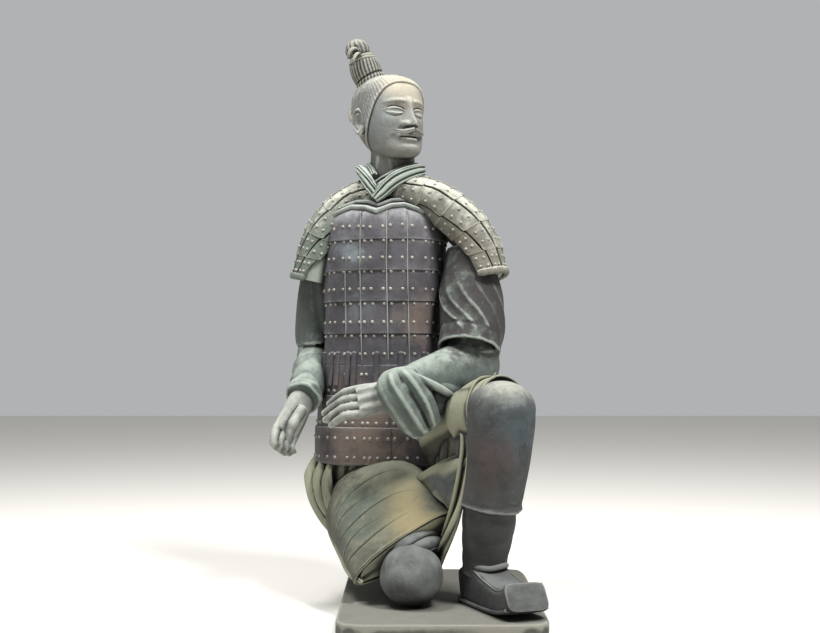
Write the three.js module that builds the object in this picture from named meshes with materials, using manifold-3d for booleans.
// A fired-clay warrior kneeling on the right knee, in plate armour over a long robe, on a low plinth.
// Three pieces: the plinth, the figure and the head, whose neck drops into a socket inside the collar.
// Millimetres, +Z up, the front faces -Y. The origin is the middle of the plinth's underside.
import * as THREE from "three";
import { mergeVertices } from "three/addons/utils/BufferGeometryUtils.js";
import Module from "manifold-3d";

const wasm = await Module();
wasm.setup();

// Driving dimensions
const PLINTH = { width: 400, depth: 610, thick: 32, corner: 12, edge: 3 };
const CLEARANCE = 0.3; // between pieces that touch
const SOCKET_CLEARANCE = 1; // all round the neck
const GROUND = PLINTH.thick + CLEARANCE; // the level that the knee and the feet stand on
const FIGURE_PLACE = [-40, 60, 0]; // the figure's own frame, from the plinth's middle
const CHEST_TURN = 12; // degrees that the chest is turned to the figure's right
const HEAD_TURN = 32; // degrees that the head is turned to the figure's left
const HEAD_LEAN = 4; // degrees that the head is leaned back
const PLATE_ROW = 66; // height of one row of armour plates
const PLATE_STEP = 5; // how far a row's edge stands proud of the next row
const WAIST = 504; // height of the row edge at the waist
const NECKLINE = 849; // height of the armour's upper rim at the breast
const ARMOUR_HEM = 290; // lower edge of the armour
const FINGER = { radius: 9, spacing: 18.5, lengths: [0.94, 1.04, 0.98, 0.8] }; // index finger first

// The skeleton, in the figure's own frame
const BONE = {
  rightShoulder: [-210, 122, 780],
  rightElbow: [-222, 150, 530],
  rightWrist: [-247, -4, 432],
  leftShoulder: [106, 40, 780],
  leftElbow: [114, -6, 504],
  leftWrist: [-40, -154, 444],
  leftKnee: [157, -232, 416],
  leftAnkle: [128, -168, 125],
  rightKnee: [-17, -192, 92],
  rightAnkle: [-96, 158, 122],
};

// Uniform Catmull-Rom through a row of numbers; place 0 is the first number and 1 the next.
function spline(values, place) {
  const last = values.length - 1;
  const i = Math.min(Math.floor(place), last - 1);
  const u = place - i;
  const [b, c] = [values[i], values[i + 1]];
  const a = i > 0 ? values[i - 1] : 2 * b - c;
  const d = i + 2 <= last ? values[i + 2] : 2 * c - b;
  return 0.5 * (2 * b + (c - a) * u + (2 * a - 5 * b + 4 * c - d) * u * u + (3 * b - a - 3 * c + d) * u ** 3);
}

// One closed mesh as a solid that can be joined and cut.
function solid(geometry) {
  const bare = geometry.clone();
  bare.deleteAttribute("normal");
  bare.deleteAttribute("uv");
  const merged = mergeVertices(bare, 1e-3);
  return new wasm.Manifold(
    new wasm.Mesh({
      numProp: 3,
      vertProperties: new Float32Array(merged.attributes.position.array),
      triVerts: new Uint32Array(merged.index.array),
    }),
  );
}

// A limb or garment: a super-ellipse carried through stations [x, y, z, half width, half depth].
// `across` is the direction of the half width. `square` 2 is an ellipse and more is boxier.
// `places` are the stations' positions at which a ring is made. `level` keeps every ring horizontal.
// `relief(turn, place)` is an extra outward distance; turn is the angle round the ring in degrees.
function loft({ stations, across, sides = 16, steps = 8, square = 2, places, level = false, relief }) {
  const last = stations.length - 1;
  const rings = places ?? Array.from({ length: steps + 1 }, (_, i) => (i * last) / steps);
  const geometry = new THREE.CylinderGeometry(1, 1, 1, sides, rings.length - 1);
  const position = geometry.attributes.position;
  const [xs, ys, zs, widths, depths] = [0, 1, 2, 3, 4].map((k) => stations.map((s) => s[k]));
  const centre = (p) => new THREE.Vector3(spline(xs, p), spline(ys, p), spline(zs, p));
  const side = new THREE.Vector3(...across).normalize();
  const frames = rings.map((p) => {
    const from = centre(Math.max(p - 0.02, 0));
    const along = level
      ? new THREE.Vector3(0, 0, Math.sign(zs[last] - zs[0]))
      : centre(Math.min(p + 0.02, last)).sub(from).normalize();
    const wide = side.clone().addScaledVector(along, -side.dot(along)).normalize();
    return { at: centre(p), wide, deep: wide.clone().cross(along), w: spline(widths, p), d: spline(depths, p), p };
  });
  const power = 2 / square;
  const bend = (v) => (Math.abs(v) < 1e-9 ? 0 : Math.sign(v) * Math.abs(v) ** power);
  for (let i = 0; i < position.count; i++) {
    const [x, y, z] = [position.getX(i), position.getY(i), position.getZ(i)];
    const f = frames[Math.round((y + 0.5) * (rings.length - 1))];
    const point = f.at.clone();
    if (Math.hypot(x, z) > 0.5) {
      const extra = relief ? relief(degrees(Math.atan2(z, x)), f.p) : 0;
      point.addScaledVector(f.wide, bend(x) * (f.w + extra)).addScaledVector(f.deep, bend(z) * (f.d + extra));
    }
    position.setXYZ(i, point.x, point.y, point.z);
  }
  return solid(geometry);
}

// An egg: a sphere stretched to three half sizes, turned about Z, then moved.
function egg(centre, [a, b, c], turn = 0, sides = 16, rings = 10) {
  const ball = new THREE.SphereGeometry(1, sides, rings);
  ball.rotateX(Math.PI / 2);
  ball.scale(a, b, c);
  ball.rotateZ(radians(turn));
  ball.translate(...centre);
  return solid(ball);
}

function radians(angle) {
  return (angle * Math.PI) / 180;
}

function degrees(angle) {
  return (angle * 180) / Math.PI;
}

function joined(parts) {
  return parts.reduce((sum, part) => sum.add(part));
}

function mix(a, b, t) {
  return a.map((v, i) => v + (b[i] - v) * t);
}

const CHEST_SIDE = [Math.cos(radians(CHEST_TURN)), -Math.sin(radians(CHEST_TURN)), 0];

// Armour on the trunk, in rows of plates. Above the waist each row's lower edge stands proud, below it the
// upper edge, and the rim at the breast is the last step. The robe's neck goes on up to the collar.
function trunk() {
  const stations = [
    [-80, 92, ARMOUR_HEM, 143, 120],
    [-80, 92, 360, 139, 117],
    [-81, 88, 440, 130, 108],
    [-80, 86, WAIST, 123, 102],
    [-78, 84, 600, 122, 102],
    [-76, 84, 700, 126, 106],
    [-73, 85, 770, 123, 103],
    [-68, 87, 825, 105, 90],
    [-62, 88, 868, 78, 68],
    [-58, 82, 900, 62, 60],
    [-57, 76, 936, 59, 60],
  ];
  const heights = stations.map((s) => s[2]);
  const placeOf = (z) => {
    const i = Math.min(Math.max(heights.findIndex((h) => h > z) - 1, 0), heights.length - 2);
    return z >= heights.at(-1) ? heights.length - 1 : i + (z - heights[i]) / (heights[i + 1] - heights[i]);
  };
  const lip = 1.5; // half the height over which a step rises
  const edges = [];
  for (let z = WAIST - 3 * PLATE_ROW; z < NECKLINE - PLATE_ROW / 2; z += PLATE_ROW) edges.push(z);
  const levels = [ARMOUR_HEM, ...[...edges, NECKLINE].flatMap((z) => [z - lip, z + lip]), 872, 900, heights.at(-1)];
  const share = (z) => (z - edges[0]) / PLATE_ROW - Math.floor((z - edges[0]) / PLATE_ROW);
  const rise = (z) => {
    if (z > NECKLINE) return 0;
    if (z > edges.at(-1)) return PLATE_STEP;
    return PLATE_STEP * (z < WAIST ? share(z) : 1 - share(z));
  };
  return loft({
    stations,
    across: CHEST_SIDE,
    sides: 20,
    square: 2.3,
    level: true,
    places: levels.map(placeOf),
    relief: (_, p) => rise(heights[Math.floor(p)] + (p % 1) * ((heights[Math.floor(p) + 1] ?? 0) - heights[Math.floor(p)])),
  });
}

// A shoulder guard: plates in rows from the neck over the shoulder, ending in a rim half-way down the arm.
function shoulderGuard(stations) {
  const rows = stations.length - 1;
  return loft({
    stations,
    across: [0, 1, 0],
    sides: 12,
    square: 2.4,
    places: Array.from({ length: rows }, (_, i) => [i, i + 0.94]).flat().concat(rows),
    relief: (_, p) => PLATE_STEP * (p % 1),
  });
}
const LEFT_GUARD = [
  [-30, 60, 868, 56, 38],
  [32, 50, 853, 72, 40],
  [92, 42, 801, 80, 44],
  [126, 36, 746, 82, 45],
  [140, 32, 688, 82, 44],
];
const RIGHT_GUARD = [
  [-92, 100, 868, 56, 38],
  [-148, 110, 852, 72, 38],
  [-196, 118, 803, 80, 42],
  [-220, 124, 748, 82, 43],
  [-233, 127, 688, 82, 43],
];

// Both arms: a wide upper sleeve with an open hem, the under-sleeve in soft folds and the rolled cuff.
function rightArm() {
  const { rightShoulder, rightElbow, rightWrist } = BONE;
  const upper = loft({
    stations: [
      [...mix(rightShoulder, rightElbow, 0.1), 48, 42],
      [...mix(rightShoulder, rightElbow, 0.5), 58, 56],
      [-220, 148, 585, 58, 56],
      [-221, 150, 550, 62, 57],
    ],
    across: [0, 1, 0],
    sides: 14,
    steps: 4,
  });
  const fore = loft({
    stations: [
      [-221, 154, 575, 46, 44],
      [...rightElbow, 47, 44],
      [...mix(rightElbow, rightWrist, 0.45), 42, 37],
      [...mix(rightElbow, rightWrist, 0.8), 38, 33],
      [...rightWrist, 34, 31],
    ],
    across: [0, 1, 1],
    sides: 12,
    steps: 8,
    relief: (turn, p) => (p > 1 ? 3 * Math.sin(p * 9 + radians(turn)) : 0),
  });
  const cuff = loft({
    stations: [
      [...mix(rightElbow, rightWrist, 0.84), 36, 33],
      [...mix(rightElbow, rightWrist, 0.92), 41, 38],
      [...mix(rightElbow, rightWrist, 1.01), 37, 34],
    ],
    across: [0, 1, 1],
    sides: 14,
    steps: 4,
  });
  return [upper, fore, cuff];
}

function leftArm() {
  const { leftShoulder, leftElbow, leftWrist } = BONE;
  const upper = loft({
    stations: [
      [...mix(leftShoulder, leftElbow, 0.1), 54, 48],
      [...mix(leftShoulder, leftElbow, 0.45), 70, 66],
      [110, 6, 590, 76, 66],
      [113, -12, 540, 80, 63],
    ],
    across: [0, 1, 0],
    steps: 5,
    relief: (turn, p) => (p > 1.5 ? 3 * Math.sin(radians(turn) * 4) : 0),
  });
  const fore = loft({
    stations: [
      [114, 4, 556, 50, 50],
      [...leftElbow, 56, 52],
      [...mix(leftElbow, leftWrist, 0.35), 58, 48],
      [...mix(leftElbow, leftWrist, 0.7), 51, 43],
      [-26, -146, 449, 43, 36],
    ],
    across: [0, 0, 1],
    sides: 14,
    steps: 8,
    relief: (turn, p) => (p > 1 ? 3.5 * Math.sin(radians(turn) * 3 + p * 5) : 0),
  });
  const drape = loft({
    stations: [
      [-20, -142, 456, 34, 28],
      [-4, -140, 412, 38, 24],
      [8, -136, 372, 30, 18],
      [18, -132, 342, 13, 9],
    ],
    across: [1, -0.6, 0],
    sides: 14,
    steps: 5,
    relief: (turn) => 3 * Math.sin(radians(turn) * 5),
  });
  return [upper, fore, drape];
}

// A hand: a palm, four fingers bent at the middle, and a thumb.
// `breadth` points from the little finger to the index finger, `spread` opens or closes the tips
// and `curl` is how far the middle joints stand off the straight line from root to tip.
function hand({ wrist, knuckles, tips, breadth, spread, curl, thumb }) {
  const wide = new THREE.Vector3(...breadth).normalize().toArray();
  const aside = (point, distance) => point.map((v, k) => v + wide[k] * distance);
  const palm = loft({
    stations: [
      [...wrist, 26, 19],
      [...mix(wrist, knuckles, 0.55), 34, 15],
      [...mix(wrist, knuckles, 1.1), 35, 11],
    ],
    across: wide,
    sides: 12,
    steps: 4,
    square: 2.4,
  });
  const fingers = FINGER.lengths.map((length, i) => {
    const offset = (1.5 - i) * FINGER.spacing;
    const root = aside(mix(wrist, knuckles, 0.9), offset);
    const tip = aside(mix(knuckles, tips, length), offset * spread);
    const joint = mix(root, tip, 0.55).map((v, k) => v + curl[k]);
    const { radius } = FINGER;
    const stations = [
      [...root, radius, radius],
      [...joint, radius, radius],
      [...tip, 0.6 * radius, 0.6 * radius],
    ];
    return loft({ stations, across: wide, sides: 6, steps: 3 });
  });
  const thumbStations = thumb.map((at, i) => [...at, 11 - 2 * i, 11 - 2 * i]);
  return [palm, ...fingers, loft({ stations: thumbStations, across: wide, sides: 6, steps: 3 })];
}
const LEFT_HAND = {
  wrist: [-30, -150, 446],
  knuckles: [-114, -150, 431],
  tips: [-192, -112, 399],
  breadth: [0.1, 0.45, 0.85],
  spread: 0.95,
  curl: [0, -10, 7],
  thumb: [
    [-58, -132, 452],
    [-92, -112, 452],
    [-124, -102, 440],
  ],
};
const RIGHT_HAND = {
  wrist: [-246, 8, 438],
  knuckles: [-264, -58, 374],
  tips: [-278, -70, 316],
  breadth: [-0.72, -0.62, 0.32],
  spread: 0.66,
  curl: [4, -24, -4],
  thumb: [
    [-252, -42, 412],
    [-288, -66, 374],
    [-286, -64, 346],
  ],
};

// The left leg in its trouser and shoe, with the foot flat and the toe square and turned up.
function leftLeg() {
  const { leftKnee, leftAnkle } = BONE;
  const thigh = loft({
    stations: [
      [70, -70, 372, 64, 62],
      [128, -176, 408, 62, 62],
      [160, -230, 417, 58, 58],
      [174, -254, 416, 36, 40],
      [180, -264, 416, 12, 14],
    ],
    across: [0.85, 0.5, 0],
    sides: 14,
    steps: 6,
  });
  const shin = loft({
    stations: [
      [152, -214, 482, 22, 22],
      [155, -220, 462, 52, 46],
      [...leftKnee, 66, 60],
      [151, -218, 330, 62, 58],
      [140, -200, 250, 57, 55],
      [132, -182, 180, 50, 50],
      [...leftAnkle, 46, 47],
      [127, -166, 96, 42, 44],
    ],
    across: [1, 0, 0],
    sides: 14,
    steps: 8,
    relief: (turn, p) => (p > 2 ? 2.5 * Math.sin(radians(turn) * 5 + p * 1.5) : 0),
  });
  const section = (x, y, half, top) => [x, y, (GROUND + top) / 2, half, (top - GROUND) / 2];
  const shoe = loft({
    stations: [
      section(103, -112, 26, 92),
      section(112, -130, 36, 100),
      section(130, -172, 39, 108),
      section(150, -218, 40, 92),
      section(175, -276, 41, 80),
      section(190, -312, 42, 88),
      section(196, -326, 42, 99),
    ],
    across: [0.93, 0.37, 0],
    square: 5,
    sides: 16,
    steps: 7,
  });
  return [thigh, shin, shoe];
}

// The right leg: the knee on the ground under a rolled trouser, the shin and the foot upright on its toes.
function rightLeg() {
  const { rightKnee, rightAnkle } = BONE;
  const knee = egg(rightKnee, [60, 62, rightKnee[2] - GROUND + 2], 0, 14, 8);
  const roll = [0, 1].map((i) =>
    loft({
      stations: [
        [-28 + 7 * i, -150 - 15 * i, 140 - 12 * i, 64 - 3 * i, 56 - 3 * i],
        [-24 + 7 * i, -160 - 15 * i, 132 - 12 * i, 72 - 3 * i, 62 - 3 * i],
        [-20 + 7 * i, -170 - 15 * i, 124 - 12 * i, 64 - 3 * i, 56 - 3 * i],
      ],
      across: [0.85, 0.3, 0.3],
      sides: 16,
      steps: 2,
    }),
  );
  const shin = loft({
    stations: [
      [...rightKnee, 54, 54],
      [...mix(rightKnee, rightAnkle, 0.35), 50, 52],
      [...mix(rightKnee, rightAnkle, 0.7), 46, 50],
      [...rightAnkle, 38, 40],
    ],
    across: [1, 0.2, 0],
    sides: 12,
    steps: 3,
  });
  const foot = loft({
    stations: [
      [-96, 190, GROUND, 40, 36],
      [-96, 193, GROUND + 24, 42, 36],
      [-97, 196, 90, 39, 31],
      [-99, 199, 160, 36, 32],
      [-101, 197, 214, 34, 31],
      [-101, 195, 237, 24, 22],
    ],
    across: [1, 0.1, 0],
    sides: 14,
    square: 2.8,
    steps: 7,
    level: true,
  });
  return [knee, ...roll, shin, foot];
}

// The robe's skirt: over both thighs, down between the knees and behind, with its hems.
function robe() {
  const pleats = (count, depth) => (turn, p) => depth * Math.sin(radians(turn) * count + p * 1.4);
  const seat = loft({
    stations: [
      [-88, 100, 112, 132, 100],
      [-88, 108, 170, 126, 100],
      [-87, 108, 240, 142, 110],
      [-82, 96, 330, 130, 106],
    ],
    across: CHEST_SIDE,
    sides: 28,
    steps: 4,
    square: 2.2,
    level: true,
    relief: pleats(10, 4),
  });
  const wrinkles = 6; // hoops of cloth round the right thigh, from the hip to the hem
  const rightThigh = loft({
    stations: [
      [-96, 60, 214, 116, 92],
      [-86, -8, 206, 118, 90],
      [-66, -74, 188, 118, 80],
      [-44, -128, 164, 119, 66],
      [-22, -166, 148, 120, 52],
    ],
    across: [0.7, 0.3, 0.62],
    sides: 18,
    square: 2.2,
    places: Array.from({ length: 2 * wrinkles + 1 }, (_, i) => (i * 4) / (2 * wrinkles)),
    relief: (_, p) => (Math.round((p * 2 * wrinkles) / 4) % 2 ? 3 : 0),
  });
  const leftThigh = loft({
    stations: [
      [-20, 70, 318, 84, 86],
      [56, -50, 360, 78, 76],
      [114, -150, 404, 72, 72],
      [138, -192, 417, 70, 68],
    ],
    across: [0.85, 0.5, 0],
    sides: 18,
    steps: 5,
    relief: pleats(5, 2.5),
  });
  const betweenKnees = loft({
    stations: [
      [62, -150, 440, 84, 34],
      [50, -118, 360, 100, 30],
      [41, -84, 291, 98, 26],
      [24, -66, 190, 94, 24],
      [2, -68, 125, 92, 30],
      [-4, -62, 62, 80, 14],
    ],
    across: [0.5, -0.87, 0],
    sides: 16,
    steps: 6,
    relief: pleats(4, 3),
  });
  const flap = loft({
    stations: [
      [30, -98, 352, 80, 30],
      [38, -108, 291, 74, 20],
      [50, -116, 254, 38, 14],
      [57, -121, 228, 8, 8],
    ],
    across: [0.78, -0.62, 0],
    sides: 12,
    steps: 3,
    square: 3,
  });
  const lap = loft({
    stations: [
      [-50, 20, 306, 84, 60],
      [-10, -36, 284, 76, 50],
      [22, -80, 268, 46, 36],
    ],
    across: [0.9, 0, 0.4],
    sides: 12,
    steps: 3,
  });
  return [seat, rightThigh, leftThigh, betweenKnees, flap, lap];
}

// The crossed collar: two padded bands that start at the breast, cross and pass round the neck.
function collar() {
  const band = (points) => {
    const stations = points.map((p) => [...p, 17, 9]);
    return loft({ stations, across: [0, 0, 1], sides: 8, steps: 10, square: 3 });
  };
  const leftBand = band([
    [-98, -8, 858],
    [-82, -2, 890],
    [-56, 2, 914],
    [-22, 12, 924],
    [4, 40, 932],
    [10, 84, 939],
    [-14, 126, 944],
    [-58, 142, 946],
  ]);
  const rightBand = band([
    [-84, -4, 868],
    [-106, 8, 890],
    [-122, 32, 920],
    [-128, 72, 934],
    [-116, 116, 942],
    [-84, 138, 946],
    [-50, 142, 946],
  ]);
  return [leftBand, rightBand];
}

// The neck: the head's foot and, a little larger, the socket inside the collar.
function neck(clearance) {
  const top = [-58, 72, 985];
  const foot = [-58, 80, 868];
  return loft({
    stations: [
      [foot[0], foot[1], foot[2] - clearance, 45 + clearance, 43 + clearance],
      [...mix(foot, top, 0.5), 49 + clearance, 48 + clearance],
      [...top, 47 + clearance, 50 + clearance],
    ],
    across: CHEST_SIDE,
    sides: 16,
    steps: 2,
    level: true,
  });
}

// The head, built facing -Y about its own middle, then turned and leaned into place. The face is a plain
// one on schoolbook proportions: the eyes half-way up, the nose's foot half-way from the brow to the chin.
function head() {
  const CROWN = 98;
  const CHIN = -90;
  const eyeLine = (CROWN + CHIN) / 2;
  const brow = eyeLine + 17;
  const noseFoot = (brow + CHIN) / 2;
  const mouth = noseFoot + (CHIN - noseFoot) / 3;
  const hairPlane = { normal: [0, 0.85, 0.53], offset: -20 };
  const skull = egg([0, 12, CROWN - 68], [68, 83, 65], 0, 14, 8);
  const hair = egg([0, 15, CROWN - 66], [72, 87, 66], 0, 14, 9).trimByPlane(hairPlane.normal, hairPlane.offset);
  const face = loft({
    stations: [
      [0, -36, CHIN, 16, 14],
      [0, -30, CHIN + 9, 37, 36],
      [0, -16, -52, 54, 58],
      [0, -8, -12, 63, 70],
      [0, -4, 30, 64, 74],
      [0, 4, 58, 58, 66],
    ],
    across: [1, 0, 0],
    sides: 16,
    steps: 6,
    level: true,
  });
  const nose = loft({
    stations: [
      [0, -72, brow - 4, 6, 7],
      [0, -80, brow - 22, 8, 10],
      [0, -85, noseFoot + 9, 14, 12],
      [0, -77, noseFoot, 12, 8],
    ],
    across: [1, 0, 0],
    sides: 8,
    steps: 4,
  });
  const sides = [-1, 1];
  const eyeSpace = 26; // one eye's width, and the space between the eyes
  const sockets = sides.map((s) => egg([s * eyeSpace, -84, eyeLine], [17, 15, 10], s * 14, 8, 4));
  const eyes = sides.map((s) => egg([s * eyeSpace, -62, eyeLine], [14, 13, 8], s * 14, 7, 4));
  const brows = sides.map((s) => egg([s * eyeSpace, -66, brow], [20, 10, 5], s * 18, 7, 4));
  const lips = [0, 1].map((i) => egg([0, -73 + i, mouth + 3 - 7 * i], [21 - 3 * i, 9, 4.5], 0, 7, 4));
  const chin = egg([0, -56, CHIN + 15], [20, 16, 13], 0, 8, 5);
  const moustache = sides.map((s) =>
    loft({
      stations: [
        [0, -82, noseFoot - 6, 6, 5],
        [s * 16, -79, noseFoot - 9, 6, 6],
        [s * 33, -68, noseFoot - 6, 3, 4],
      ],
      across: [0, 0, 1],
      sides: 6,
      steps: 3,
    }),
  );
  const ears = sides.map((s) => egg([s * 66, 6, -8], [9, 15, 27], s * -14, 8, 6));
  const bun = loft({
    stations: [
      [-30, 24, CROWN - 16, 34, 33],
      [-35, 26, CROWN + 6, 31, 31],
      [-41, 28, CROWN + 22, 33, 33],
      [-46, 30, CROWN + 38, 29, 29],
      [-50, 31, CROWN + 47, 22, 22],
      [-54, 32, CROWN + 60, 27, 27],
      [-57, 33, CROWN + 76, 24, 24],
      [-59, 33, CROWN + 86, 9, 9],
    ],
    across: [1, 0, 0],
    sides: 10,
    steps: 9,
  });
  const ribbon = egg([-82, 24, CROWN + 48], [10, 8, 13], 20, 8, 6);
  const place = new THREE.Matrix4()
    .makeTranslation(-64, 66, 1036)
    .multiply(new THREE.Matrix4().makeRotationZ(radians(HEAD_TURN)))
    .multiply(new THREE.Matrix4().makeRotationX(radians(-HEAD_LEAN)));
  const carved = joined([skull, face]).subtract(joined(sockets));
  const features = [hair, nose, ...eyes, ...brows, ...lips, chin, ...moustache, ...ears, bun, ribbon];
  return joined([carved, ...features]).transform(place.toArray()).add(neck(0));
}

// The plinth: a rounded rectangle with a small bevel along its edges.
function plinth() {
  const { width, depth, thick, corner, edge } = PLINTH;
  const [x, y] = [width / 2 - edge, depth / 2 - edge];
  const outline = new THREE.Shape();
  outline.moveTo(-x + corner, -y);
  outline.lineTo(x - corner, -y);
  outline.quadraticCurveTo(x, -y, x, -y + corner);
  outline.lineTo(x, y - corner);
  outline.quadraticCurveTo(x, y, x - corner, y);
  outline.lineTo(-x + corner, y);
  outline.quadraticCurveTo(-x, y, -x, y - corner);
  outline.lineTo(-x, -y + corner);
  outline.quadraticCurveTo(-x, -y, -x + corner, -y);
  const bevelled = new THREE.ExtrudeGeometry(outline, {
    depth: thick - 2 * edge,
    bevelThickness: edge,
    bevelSize: edge,
    bevelSegments: 1,
    curveSegments: 4,
  });
  bevelled.translate(0, 0, edge);
  return solid(bevelled);
}

function figure() {
  const guards = [LEFT_GUARD, RIGHT_GUARD].map(shoulderGuard);
  const hands = [LEFT_HAND, RIGHT_HAND].flatMap(hand);
  const limbs = [...rightArm(), ...leftArm(), ...hands, ...leftLeg(), ...rightLeg()];
  const whole = joined([trunk(), ...guards, ...limbs, ...robe(), ...collar()]);
  return whole.subtract(neck(SOCKET_CLEARANCE)).trimByPlane([0, 0, 1], GROUND);
}

// A solid as a named mesh with its own material.
function mesh(name, made, color, roughness, place = [0, 0, 0]) {
  const raw = made.getMesh();
  const geometry = new THREE.BufferGeometry();
  geometry.setAttribute("position", new THREE.BufferAttribute(raw.vertProperties, raw.numProp));
  geometry.setIndex(new THREE.BufferAttribute(raw.triVerts, 1));
  geometry.computeVertexNormals();
  const piece = new THREE.Mesh(geometry, new THREE.MeshStandardMaterial({ color, roughness, metalness: 0 }));
  piece.name = name;
  piece.position.set(...place);
  return piece;
}

const statue = new THREE.Group();
statue.add(mesh("plinth", plinth(), 0x57534c, 0.9));
statue.add(mesh("figure", figure(), 0x6f6a60, 0.82, FIGURE_PLACE));
statue.add(mesh("head", head(), 0x8f8574, 0.78, FIGURE_PLACE));

export default statue;
